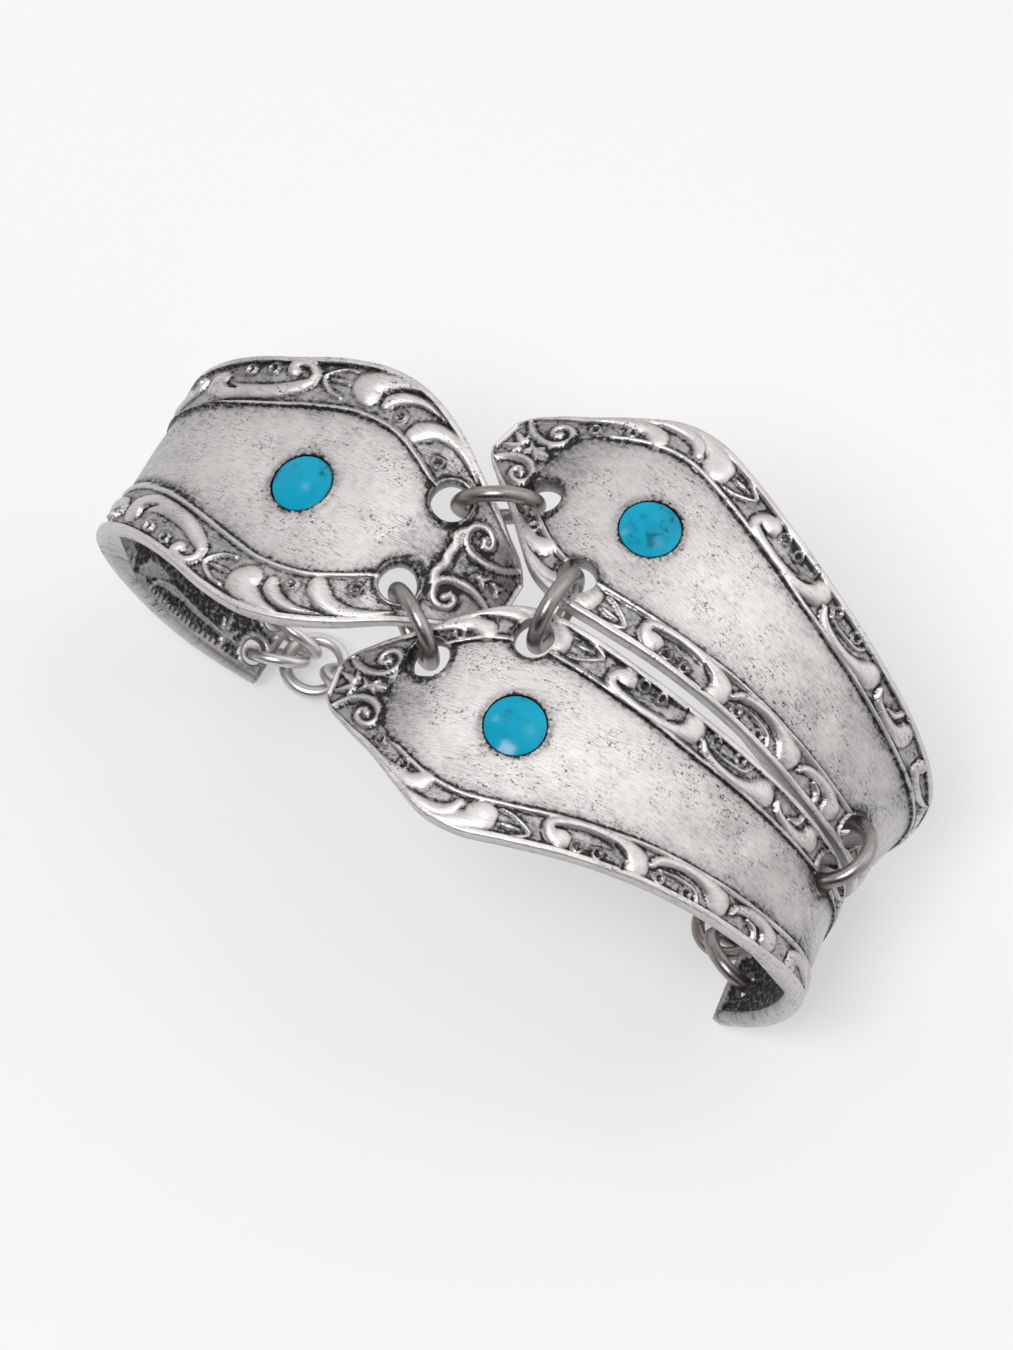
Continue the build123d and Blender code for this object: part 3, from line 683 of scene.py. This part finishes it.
class NodeTree:
    """Adds the nodes of one tree and joins them."""

    def __init__(self, tree):
        self.tree = tree
        self.link = tree.links.new

    def add(self, kind, **values):
        """A node with its settings and the values of its sockets."""
        node = self.tree.nodes.new("ShaderNode" + kind)
        for key, value in values.items():
            if hasattr(node, key):
                setattr(node, key, value)
            else:
                node.inputs[key.replace("_", " ")].default_value = value
        return node

    def texture(self, kind, place, **values):
        """A texture node read at a place."""
        node = self.add("Tex" + kind, **values)
        self.link(place, node.inputs["Vector"])
        return node

    def eased(self, value, low, high, low_value=0.0, high_value=1.0):
        """A value turned into a smooth step from low_value at low to high_value at high."""
        node = self.add("MapRange", interpolation_type="SMOOTHSTEP",
                        From_Min=low, From_Max=high, To_Min=low_value, To_Max=high_value)
        self.link(value, node.inputs["Value"])
        return node.outputs[0]

    def maths(self, operation, first, second):
        """One step of arithmetic on two sockets or numbers."""
        node = self.add("Math", operation=operation)
        for index, value in enumerate((first, second)):
            if isinstance(value, (int, float)):
                node.inputs[index].default_value = value
            else:
                self.link(value, node.inputs[index])
        return node.outputs[0]

    def times(self, first, second):
        """Product of two sockets or numbers."""
        return self.maths("MULTIPLY", first, second)

    def total(self, first, *others):
        """Sum of sockets and numbers."""
        for value in others:
            first = self.maths("ADD", first, value)
        return first

    def blend(self, share, first, second):
        """Mix of two colours by a share."""
        node = self.add("Mix", data_type="RGBA")
        self.link(share, node.inputs[0])
        for socket, value in ((node.inputs[6], first), (node.inputs[7], second)):
            if isinstance(value, bpy.types.NodeSocket):
                self.link(value, socket)
            else:
                socket.default_value = (*value, 1.0)
        return node.outputs[2]

    def bump(self, shader, height, strength, distance):
        """Fine surface of a shader from a height."""
        node = self.add("Bump", Strength=strength, Distance=distance)
        self.link(height, node.inputs["Height"])
        self.link(node.outputs["Normal"], shader.inputs["Normal"])


def material_of(name):
    """A new node material with its shader and node tree."""
    material = bpy.data.materials.new(name)
    material.use_nodes = True
    return material, material.node_tree.nodes["Principled BSDF"], NodeTree(material.node_tree)


def darker(colour, share=0.45):
    """A share of a colour."""
    return [share * value for value in colour]


def cast_silver(colours):
    """Worn cast silver: black in the ground, satin with scratches on the panel, rubbed bright on top."""
    material, shader, nodes = material_of("cast_silver")
    relief, hollow, panel = [
        nodes.add("Attribute", attribute_name=name).outputs["Fac"] for name in ("relief", "hollow", "panel")]
    place = nodes.add("UVMap", uv_map="flat").outputs["UV"]
    stretched = nodes.add("Mapping", Scale=(1.0, 8.0, 1.0))
    nodes.link(place, stretched.inputs["Vector"])

    def noise(scale, detail, vector, roughness):
        return nodes.texture("Noise", vector, Scale=scale, Detail=detail, Roughness=roughness).outputs["Fac"]

    cloud = noise(11.0, 5.0, place, 0.6)
    speckle = noise(230.0, 4.0, place, 0.7)
    grain = noise(700.0, 2.0, place, 0.7)
    scratch = noise(100.0, 6.0, stretched.outputs["Vector"], 0.78)
    patchy = noise(20.0, 4.0, place, 0.75)
    pitted = 0.0
    for scale, wide in ((170.0, 0.30), (330.0, 0.36)):
        pits = nodes.texture("Voronoi", place, Scale=scale, Randomness=1.0).outputs["Distance"]
        pitted = nodes.maths("MAXIMUM", nodes.eased(pits, 0.08, wide, 1.0, 0.0), pitted)
    pitted = nodes.times(pitted, nodes.eased(patchy, 0.46, 0.62))

    # Tarnish gathers low in the relief, in hollows, in pits and in scratches
    low = nodes.eased(relief, 0.05, 0.60, 0.78, 0.0)
    mottled = nodes.eased(speckle, 0.32, 0.66, 0.60, 1.30)
    dirty = nodes.eased(cloud, 0.46, 0.74, 0.0, 0.22)
    brushed = nodes.eased(patchy, 0.34, 0.64, 0.35, 1.0)
    lines = nodes.times(nodes.eased(scratch, 0.44, 0.70, 0.0, 0.60), brushed)
    # The same mix also lays painted shade on the plates' tips and inner faces
    dark = nodes.total(
        nodes.times(low, mottled), nodes.times(hollow, mottled), dirty, nodes.times(pitted, 0.60), lines)
    tone = nodes.add("Clamp")
    nodes.link(dark, tone.inputs["Value"])
    tone = tone.outputs[0]
    nodes.link(nodes.blend(tone, colours.silver, colours.tarnish), shader.inputs["Base Color"])
    shader.inputs["Metallic"].default_value = 1.0
    rough = nodes.total(nodes.eased(scratch, 0.25, 0.75, 0.34, 0.47), nodes.times(tone, 0.20))
    nodes.link(rough, shader.inputs["Roughness"])

    # Fine surface: lengthwise scratches, grain and pits, coarser in the ground
    rough_ground = nodes.times(nodes.times(speckle, low), nodes.maths("SUBTRACT", 1.0, panel))
    surface = nodes.total(nodes.times(scratch, 0.40), nodes.times(grain, 0.25), rough_ground)
    surface = nodes.maths("SUBTRACT", surface, nodes.times(pitted, 0.5))
    nodes.bump(shader, surface, 0.65, 0.09 * MM)
    return material


def stone_turquoise(colours):
    """Polished turquoise with thin dark veins and small pits."""
    material, shader, nodes = material_of("turquoise")
    place = nodes.add("TexCoord").outputs["Object"]
    cloud = nodes.texture("Noise", place, Scale=420.0, Detail=5.0, Roughness=0.6).outputs["Fac"]
    wander = nodes.texture("Noise", place, Scale=700.0, Detail=4.0)
    warped = nodes.add("VectorMath", operation="MULTIPLY_ADD")
    warped.inputs[1].default_value = (0.0026, 0.0026, 0.0026)
    nodes.link(wander.outputs["Color"], warped.inputs[0])
    nodes.link(place, warped.inputs[2])
    cracks = nodes.texture("Voronoi", warped.outputs[0], feature="DISTANCE_TO_EDGE", Scale=520.0)
    line = nodes.eased(cracks.outputs["Distance"], 0.0, 0.17, 0.95, 0.0)
    veins = nodes.times(line, nodes.eased(cloud, 0.49, 0.62))
    dots = nodes.texture("Voronoi", place, Scale=2300.0)
    dot = nodes.eased(dots.outputs["Distance"], 0.05, 0.16, 1.0, 0.0)
    marks = nodes.maths("MAXIMUM", veins, nodes.times(dot, 0.35))
    shade = nodes.eased(cloud, 0.35, 0.70, 0.0, 0.38)
    body = nodes.blend(shade, colours.turquoise, darker(colours.turquoise))
    nodes.link(nodes.blend(marks, body, colours.vein), shader.inputs["Base Color"])
    shader.inputs["Roughness"].default_value = 0.17
    shader.inputs["Specular IOR Level"].default_value = 0.20
    nodes.bump(shader, nodes.maths("SUBTRACT", 1.0, marks), 0.25, 0.03 * MM)
    return material


def ring_metal(name, colour, roughness, wear):
    """Drawn wire, with a soft satin wear."""
    material, shader, nodes = material_of(name)
    place = nodes.add("TexCoord").outputs["Object"]
    cloud = nodes.texture("Noise", place, Scale=900.0, Detail=5.0, Roughness=0.65).outputs["Fac"]
    grain = nodes.texture("Noise", place, Scale=9000.0, Detail=2.0, Roughness=0.6).outputs["Fac"]
    tone = nodes.eased(cloud, 0.32, 0.70, 0.0, wear)
    nodes.link(nodes.blend(tone, colour, darker(colour)), shader.inputs["Base Color"])
    shader.inputs["Metallic"].default_value = 1.0
    rough = nodes.eased(grain, 0.3, 0.7, roughness - 0.06, roughness + 0.08)
    nodes.link(rough, shader.inputs["Roughness"])
    nodes.bump(shader, grain, 0.12, 0.02 * MM)
    return material


def floor_paper(colours):
    """Matt pale floor, lit through from below so that shadows stay soft."""
    material, shader, nodes = material_of("floor_paper")
    place = nodes.add("TexCoord").outputs["Object"]
    cloud = nodes.texture("Noise", place, Scale=30.0, Detail=2.0).outputs["Fac"]
    paper = nodes.blend(cloud, colours.floor, darker(colours.floor, 0.995))
    nodes.link(paper, shader.inputs["Base Color"])
    shader.inputs["Roughness"].default_value = 0.9
    shader.inputs["Specular IOR Level"].default_value = 0.1
    shader.inputs["Emission Color"].default_value = (1.0, 0.998, 0.996, 1.0)
    shader.inputs["Emission Strength"].default_value = 0.44
    return material


# Pieces


def flat_plate(plate, sizes):
    """A closed flat plate with its worked outer face, still in mm, before its holes."""
    cell = sizes.cell / MM
    thick = sizes.plate_thick / MM
    start = plate["outline"][0][0] * plate["length"]
    end = plate["outline"][-1][0] * plate["length"]
    rounding = [
        (0.0, INNER_INSET - thick), (0.0, -RIM_ROUND), (0.05, -0.10), (0.12, -0.03), (RIM_ROUND, 0.0)]

    def stations(low, high, count, middle_share=1.0):
        """Places from edge to edge with the height that each may reach, wider apart in the middle."""
        evenly = np.linspace(-1, 1, count)
        spread = np.sign(evenly) * np.interp(np.abs(evenly), (0, 0.5 / middle_share, 1), (0, 0.5, 1))
        inner = ((low + high) / 2 + spread * ((high - low) / 2 - RIM_ROUND))[1:-1]
        places = [low + inset for inset, _ in rounding] + list(inner)
        places += [high - inset for inset, _ in reversed(rounding)]
        tops = [top for _, top in rounding] + [FAR] * len(inner) + [top for _, top in reversed(rounding)]
        return np.array(places), np.array(tops)

    rows, row_tops = stations(start, end, int((end - start) / cell))
    broad = int(2 * plate["half"] / (1.38 * cell))
    columns, column_tops = stations(-plate["half"], plate["half"], broad, 2.2)
    on_rim = column_tops < FAR
    insets = np.where(on_rim, plate["half"] - np.abs(columns), 0.0)
    half = half_width(plate, rows)[:, None]
    inner_share = columns / (plate["half"] - RIM_ROUND)
    across = np.where(on_rim, np.sign(columns) * (half - insets), inner_share * (half - RIM_ROUND))
    along = np.repeat(rows[:, None], len(columns), 1)
    lift, panel, inward, edge = worked_face(plate, sizes, along, across)
    shape = np.minimum(lift, np.minimum(row_tops[:, None], column_tops[None, :]))
    hollow = hollows(lift, edge)

    outer = grid_of(len(rows), len(columns))
    set_coordinates(outer, np.column_stack([along.ravel(), across.ravel(), shape.ravel()]))
    inner_from = plate["inner_from"]
    inner_rows = np.concatenate([
        np.linspace(start + INNER_INSET, inner_from, 60, endpoint=False),
        np.linspace(inner_from, end - INNER_INSET, int((end - inner_from) / 0.20))])
    inner_half = (half_width(plate, inner_rows) - INNER_INSET)[:, None]
    inner_columns = np.linspace(-1, 1, len(columns) // 2 - 10)
    inner_along = np.repeat(inner_rows[:, None], len(inner_columns), 1)
    inner_across = inner_half * inner_columns
    inner_lift = -thick + inner_face(plate, inner_along, inner_across)
    inner_lift += 0.4 * hand_wear(plate, inner_along, inner_across, 0 * inner_along)
    inner_lift = np.where(np.abs(inner_columns) > 0.999, -thick, inner_lift)
    inner = grid_of(len(inner_rows), len(inner_columns))
    set_coordinates(inner, np.column_stack([inner_along.ravel(), inner_across.ravel(), inner_lift.ravel()]))
    deselect()
    outer.select_set(True)
    inner.select_set(True)
    bpy.context.view_layer.objects.active = outer
    bpy.ops.object.join()
    edit_all(outer)
    bpy.ops.mesh.remove_doubles(threshold=0.0005)
    bpy.ops.mesh.select_all(action="DESELECT")
    bpy.ops.mesh.select_non_manifold(extend=False)
    bpy.ops.mesh.bridge_edge_loops()
    bpy.ops.mesh.select_all(action="SELECT")
    bpy.ops.mesh.normals_make_consistent(inside=False)
    close_edit()
    fields = {"rows": rows, "columns": columns / plate["half"]}
    fields.update(panel=panel, hollow=hollow, inward=inward)
    return outer, fields


def hollows(lift, edge):
    """How far each place lies below what is round it, from 0 to about 1."""
    near = np.clip((blurred(lift, 3) - lift) / 0.12, 0, 1)
    wide = np.clip((blurred(lift, 8) - lift) / 0.25, 0, 1)
    return np.clip(0.74 * near + 0.25 * wide, 0, 1) * ramp(edge, 0.1, 0.5)


def read_field(plate, fields, name, along, across):
    """A field of the worked face read at other places, by its nearest cell."""
    rows = fields["rows"]
    field = fields[name]
    row = np.clip(np.searchsorted(rows, along), 0, len(rows) - 1)
    share = np.clip(across / np.maximum(half_width(plate, along), 0.1), -1, 1)
    column = np.clip(np.searchsorted(fields["columns"], share), 0, field.shape[1] - 1)
    return field[row, column]


def finish_plate(plate, sizes, piece, fields):
    """Drills and sinks a flat plate, marks its tarnish, wear and painted shade, and bends it into place."""
    thick = sizes.plate_thick / MM
    for along, across, radius, _ in plate["holes"]:
        cut(piece, drill(radius, along, across, -2 * thick, thick))
    panel = (sizes.panel_rise - sizes.ground_depth) / MM
    cut(piece, drill(seat_radius(sizes), plate["stone"], 0.0, panel - SEAT_DEPTH, thick, 96))
    flat = coordinates(piece)
    along, across, lift = flat.T
    ground = -sizes.ground_depth / MM
    outer = lift > ground - 0.12
    stained_and_shaded = stains_and_tip_shade(plate, sizes, fields, along, across)
    inner = lift < 0.06 - thick + INNER_DEPTH
    near_foot = ramp(along, plate["inner_from"] - 6, plate["inner_from"] + 4)
    raised = np.clip((INNER_DEPTH - thick - lift) / INNER_DEPTH, 0, 1)
    inner_relief = 0.55 + near_foot * (0.22 + 0.50 * raised - 0.55)
    panel = np.where(outer, read_field(plate, fields, "panel", along, across), 1.0)
    relief = np.where(outer, np.clip((lift - ground) / -ground, 0, 1), 0.50)
    hollow = np.where(outer, read_field(plate, fields, "hollow", along, across) + stained_and_shaded, 0.16)
    # Painted shade over the inner face, darker toward the foot; walls get a fixed middling darkness
    values = {
        "relief": np.where(inner, inner_relief, np.maximum(relief, 0.75 * panel)),
        "panel": np.where(inner, 0.9, panel),
        "hollow": np.where(inner, 0.18 + 0.14 * near_foot, hollow),
    }
    for name, value in values.items():
        marked = piece.data.attributes.new(name, "FLOAT", "POINT")
        marked.data.foreach_set("value", value.astype(np.float32))
    corner = np.empty(len(piece.data.loops), int)
    piece.data.loops.foreach_get("vertex_index", corner)
    layer = piece.data.uv_layers.new(name="flat")
    spread = np.column_stack([along, across - lift]) / 100 + (0.0, 0.5)
    layer.data.foreach_set("uv", spread[corner].ravel())
    set_coordinates(piece, bent(plate, flat) * MM)


def stains_and_tip_shade(plate, sizes, fields, along, across):
    """Tarnish along the panel's edge and round the stone and holes, and painted shade toward the tip."""
    inward = read_field(plate, fields, "inward", along, across)
    depth = np.clip(inward, 0, FAR)
    edge = (0.34 * np.exp(-depth / 0.30) + 0.26 * np.exp(-depth / 1.5)) * (inward > 0)
    # Painted shade: the panel is darkened toward the tip, where the plate slopes down
    tip = 0.22 * (1 - ramp(along, 8.5, 13.5)) * (inward > 0)
    reach = np.hypot(along - plate["stone"], across) - seat_radius(sizes)
    seat = 0.34 * np.exp(-(np.clip(reach - 0.22, 0, FAR) / 0.30) ** 2)
    inside = 0.75 * (reach < 0.02)
    holes = np.zeros(along.shape)
    for middle, out, radius, _ in plate["holes"]:
        gap = np.hypot(along - middle, across - out) - radius
        holes = np.maximum(holes, 0.22 * np.exp(-(np.clip(gap - 0.3, 0, FAR) / 0.4) ** 2))
    return edge + tip + seat + inside + holes


def mirror_plate(piece, name):
    """A copy of a plate with its own mesh, on the other side of the bracelet."""
    twin = piece.copy()
    twin.data = piece.data.copy()
    twin.name = name
    bpy.context.scene.collection.objects.link(twin)
    places = coordinates(twin)
    set_coordinates(twin, places * (1, -1, 1))
    edit_all(twin)
    bpy.ops.mesh.flip_normals()
    close_edit()
    return twin


class BRACELET_OT_left_plate(bpy.types.Operator):
    """Make the single left plate, carved and pierced"""

    bl_idname = "bracelet.left_plate"
    bl_label = "Left plate"

    def execute(self, context):
        sizes = context.scene.bracelet_sizes
        piece, fields = flat_plate(LEFT, sizes)
        piece.name = "left_plate"
        finish_plate(LEFT, sizes, piece, fields)
        smooth(piece, 50)
        dress(piece, cast_silver(context.scene.bracelet_colours), "silver", *LEFT["nodes"])
        return {"FINISHED"}


class BRACELET_OT_plate_pair(bpy.types.Operator):
    """Make the pair of plates of the right side, the front one a mirror image of the back one"""

    bl_idname = "bracelet.plate_pair"
    bl_label = "Pair of plates"

    def execute(self, context):
        sizes = context.scene.bracelet_sizes
        piece, fields = flat_plate(PAIR, sizes)
        piece.name = "back_plate"
        finish_plate(PAIR, sizes, piece, fields)
        twin = mirror_plate(piece, "front_plate")
        silver = bpy.data.materials.get("cast_silver") or cast_silver(context.scene.bracelet_colours)
        for plate, node in zip((piece, twin), PAIR["nodes"]):
            smooth(plate, 50)
            dress(plate, silver, "silver", node)
        return {"FINISHED"}


class BRACELET_OT_stones(bpy.types.Operator):
    """Make the three turquoise cabochons"""

    bl_idname = "bracelet.stones"
    bl_label = "Turquoise stones"

    def execute(self, context):
        sizes = context.scene.bracelet_sizes
        turquoise = stone_turquoise(context.scene.bracelet_colours)
        seats = (("stone_left", LEFT, 1), ("stone_back", PAIR, 1), ("stone_front", PAIR, -1))
        for name, plate, hand in seats:
            piece = cabochon(sizes)
            flat = coordinates(piece)
            places = bent_stiffly(plate, plate["stone"], flat) * (1, hand, 1)
            set_coordinates(piece, places * MM)
            piece.name = name.replace("stone", "turquoise")
            edit_all(piece)
            bpy.ops.mesh.normals_make_consistent(inside=False)
            close_edit()
            smooth(piece, 60)
            dress(piece, turquoise, "turquoise", name)
        return {"FINISHED"}


def cabochon(sizes):
    """Domed stone spun from half its section, in mm, with its foot in the seat."""
    radius = sizes.stone_diameter / MM / 2
    wall = 0.70
    dome = 0.45
    base = (sizes.panel_rise - sizes.ground_depth) / MM - SEAT_DEPTH + SEAT_GAP
    curve = (radius ** 2 + dome ** 2) / (2 * dome)
    angles = np.linspace(0, np.arcsin(radius / curve), 22)
    section = [(0.0, base), (radius - 0.05, base), (radius, base + 0.05)]
    section += [(curve * sin(a), base + wall + dome - curve * (1 - cos(a))) for a in angles[::-1]]
    section[-1] = (0.0, base + wall + dome)
    deselect()
    mesh = bpy.data.meshes.new("cabochon")
    mesh.from_pydata([(x, 0, z) for x, z in section], [(i, i + 1) for i in range(len(section) - 1)], [])
    piece = bpy.data.objects.new("cabochon", mesh)
    bpy.context.scene.collection.objects.link(piece)
    edit_all(piece)
    bpy.ops.mesh.spin(steps=72, angle=tau, center=(0, 0, 0), axis=(0, 0, 1))
    bpy.ops.mesh.remove_doubles(threshold=0.001)
    bpy.ops.mesh.normals_make_consistent(inside=False)
    close_edit()
    return piece


def bent_stiffly(plate, along, local):
    """Points of a rigid piece set square on a plate's middle line, in mm."""
    corners = np.array([(along, 0, 0), (along + 0.01, 0, 0), (along, 1, 0), (along, 0, 1)], float)
    origin, ahead, side, up = bent(plate, corners)
    up = (up - origin) / np.linalg.norm(up - origin)
    side = (side - origin) / np.linalg.norm(side - origin)
    ahead = np.cross(side, up)
    return origin + local[:, :1] * ahead + local[:, 1:2] * side + local[:, 2:] * up


class BRACELET_OT_rings(bpy.types.Operator):
    """Make the jump rings and the chain's links as round drawn wire"""

    bl_idname = "bracelet.rings"
    bl_label = "Rings and chain"

    def execute(self, context):
        sizes = context.scene.bracelet_sizes
        colours = context.scene.bracelet_colours
        dark = ring_metal("dark_wire", colours.gunmetal, 0.32, 0.40)
        bright = ring_metal("bright_wire", colours.bright, 0.36, 0.25)
        for node in DARK_RINGS:
            dress(wire_ring(node, sizes), dark, "dark_metal", node)
        for node in BRIGHT_RINGS:
            dress(wire_ring(node, sizes), bright, "bright_silver", node)
        return {"FINISHED"}


def wire_ring(node, sizes):
    """A round ring of wire where the frame has it."""
    places = np.array([vertex.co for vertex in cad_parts[node].data.vertices], float)
    rough_middle = places.mean(0)
    _, _, axes = np.linalg.svd(places - rough_middle, full_matrices=False)
    axis = axes[2]
    flat = (places - rough_middle) @ axes[:2].T
    fit = np.linalg.lstsq(np.column_stack([2 * flat, np.ones(len(flat))]), (flat ** 2).sum(1), rcond=None)[0]
    middle = (flat.min(0) + flat.max(0)) / 2
    agreement = 0.2 * MM
    if np.linalg.norm(fit[:2] - middle) < agreement:
        middle = (fit[:2] + middle) / 2
    reach = np.linalg.norm(flat - middle, axis=1)
    outer = reach.max()
    inner = reach.min()
    deselect()
    bpy.ops.mesh.primitive_torus_add(
        major_segments=sizes.ring_steps, minor_segments=sizes.wire_steps,
        major_radius=(outer + inner) / 2, minor_radius=(outer - inner) / 2)
    ring = bpy.context.active_object
    ring.name = "wire_" + node
    turn = Matrix(np.array((axes[0], np.cross(axis, axes[0]), axis)).T.tolist()).to_4x4()
    turn.translation = Vector(rough_middle + middle @ axes[:2])
    ring.data.transform(turn)
    smooth(ring, 60)
    return ring


class BRACELET_OT_clasp(bpy.types.Operator):
    """Give the clasp its bright satin metal"""

    bl_idname = "bracelet.clasp"
    bl_label = "Clasp"

    def execute(self, context):
        metal = bpy.data.materials["bright_wire"]
        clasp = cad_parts["clasp"]
        clasp.data.materials.clear()
        clasp.data.materials.append(metal)
        return {"FINISHED"}


class BRACELET_OT_stage(bpy.types.Operator):
    """Set the pale floor, the soft lights and the camera"""

    bl_idname = "bracelet.stage"
    bl_label = "Stage"

    def execute(self, context):
        deselect()
        bpy.ops.mesh.primitive_plane_add(size=3.0, location=(0, 0, -0.00002))
        floor = context.active_object
        floor.name = "studio_floor"
        floor.data.materials.append(floor_paper(context.scene.bracelet_colours))
        softbox("left_softbox", (-0.86, 0.21, 1.22), (0.20, 0.20), 0.9)
        softbox("top_softbox", (0.25, 0.40, 1.43), (0.32, 0.32), 0.9)
        softbox("key_softbox", (-0.04, -0.585, 1.38), (0.52, 0.52), 15.0)
        sky(context.scene)
        photo_camera(context.scene)
        context.scene.view_settings.view_transform = "Standard"
        return {"FINISHED"}


def softbox(name, place, size, watts):
    """Rectangular area light turned to the bracelet."""
    light = bpy.data.lights.new(name, "AREA")
    light.shape = "RECTANGLE"
    light.size, light.size_y = size
    light.energy = watts
    holder = bpy.data.objects.new(name, light)
    holder.location = place
    holder.rotation_euler = (Vector((0, 0, 0.02)) - Vector(place)).to_track_quat("-Z", "Y").to_euler()
    bpy.context.scene.collection.objects.link(holder)


def sky(scene):
    """White tent round the bracelet, brightest high on its right and far side, that the metal mirrors."""
    world = bpy.data.worlds.new("studio_tent")
    scene.world = world
    world.use_nodes = True
    nodes = NodeTree(world.node_tree)
    place = nodes.add("TexCoord").outputs["Generated"]

    def toward(*direction):
        """How squarely a place of the tent lies in a direction, from 0 to 1."""
        facing = nodes.add("VectorMath", operation="DOT_PRODUCT")
        facing.inputs[1].default_value = Vector(direction).normalized()
        nodes.link(place, facing.inputs[0])
        return nodes.maths("MAXIMUM", facing.outputs["Value"], 0.0)

    bright = nodes.times(nodes.maths("POWER", toward(0.60, 0.38, 0.70), 6.0), 0.85)
    dim = nodes.times(toward(0.15, -0.85, 0.35), -1.0)
    back = world.node_tree.nodes["Background"]
    nodes.link(nodes.total(bright, dim, 0.92), back.inputs["Strength"])
    back.inputs["Color"].default_value = (1.0, 0.995, 0.99, 1.0)


def photo_camera(scene):
    """The camera at the photograph's angle and distance."""
    a = radians(AZIMUTH)
    e = radians(ELEVATION)
    right = Vector((cos(a), sin(a), 0))
    up = Vector((-sin(a) * sin(e), cos(a) * sin(e), cos(e)))
    back = Vector((sin(a) * cos(e), -cos(a) * cos(e), sin(e)))
    data = bpy.data.cameras.new("photo_camera")
    data.sensor_width = SENSOR
    data.lens = FOCAL_PIXELS / PHOTO_HEIGHT * SENSOR
    data.shift_x = (PHOTO_WIDTH / 2 - LOOK_AT_COLUMN) / PHOTO_HEIGHT
    data.shift_y = (LOOK_AT_ROW - PHOTO_HEIGHT / 2) / PHOTO_HEIGHT
    data.clip_start = 0.01
    holder = bpy.data.objects.new("photo_camera", data)
    turn = Matrix((right, up, back)).transposed().to_4x4()
    turn.translation = (LOOK_AT + back * CAMERA_BACK) * MM
    holder.matrix_world = turn
    scene.collection.objects.link(holder)
    scene.camera = holder


OPERATORS = (
    BRACELET_OT_left_plate,
    BRACELET_OT_plate_pair,
    BRACELET_OT_stones,
    BRACELET_OT_rings,
    BRACELET_OT_clasp,
    BRACELET_OT_stage,
)


class BRACELET_PT_panel(bpy.types.Panel):
    """Lists the bracelet's pieces"""

    bl_idname = "BRACELET_PT_panel"
    bl_label = "Bracelet"
    bl_space_type = "VIEW_3D"
    bl_region_type = "UI"
    bl_category = "Bracelet"

    def draw(self, context):
        for group in (context.scene.bracelet_sizes, context.scene.bracelet_colours):
            for name in group.__annotations__:
                self.layout.prop(group, name)
        for operator in OPERATORS:
            self.layout.operator(operator.bl_idname)


CLASSES = (BraceletSizes, BraceletColours, *OPERATORS, BRACELET_PT_panel)


def register():
    """Adds the classes and the scene's settings."""
    for kind in CLASSES:
        bpy.utils.register_class(kind)
    bpy.types.Scene.bracelet_sizes = PointerProperty(type=BraceletSizes)
    bpy.types.Scene.bracelet_colours = PointerProperty(type=BraceletColours)


def unregister():
    """Takes them away again."""
    del bpy.types.Scene.bracelet_colours
    del bpy.types.Scene.bracelet_sizes
    for kind in reversed(CLASSES):
        bpy.utils.unregister_class(kind)


def main():
    """Makes every piece in order."""
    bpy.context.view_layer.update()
    register()
    bpy.ops.bracelet.left_plate()
    bpy.ops.bracelet.plate_pair()
    bpy.ops.bracelet.stones()
    bpy.ops.bracelet.rings()
    bpy.ops.bracelet.clasp()
    bpy.ops.bracelet.stage()
    bpy.context.view_layer.update()


if __name__ == "__main__":
    main()
